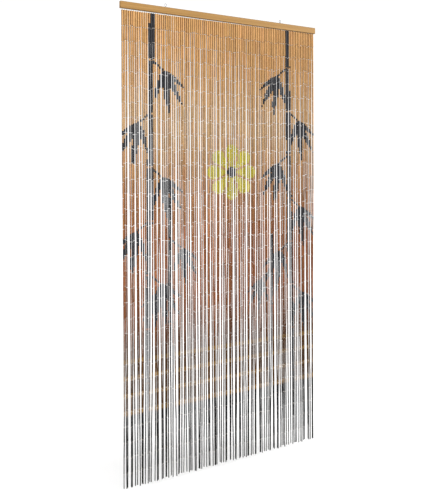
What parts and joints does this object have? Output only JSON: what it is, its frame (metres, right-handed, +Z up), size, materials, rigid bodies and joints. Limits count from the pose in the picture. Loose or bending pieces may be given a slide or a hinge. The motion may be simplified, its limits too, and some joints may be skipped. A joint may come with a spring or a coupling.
{
  "type": "bamboo door curtain with head rail",
  "caption": "Doorway curtain of hanging bamboo bead strands on a wooden head rail that hangs from screw eyes.",
  "frame": {"origin": "midway between the centres of the two hanging eyes", "axes": "+Z up along the hanging strands, +X along the rail towards the right as seen from the front, and the front faces -Y"},
  "size_m": [1, 0.014, 2.0157],
  "materials": {
    "rail_wood": "satin, straight-grained light wood",
    "bamboo": "satin painted bamboo",
    "steel": "plain bright wire"
  },
  "bodies": {
    "root": {"headrail": "rail_wood", "strands": "bamboo", "hanging_eye_left": "steel", "hanging_eye_right": "steel"}
  },
  "joints": []
}
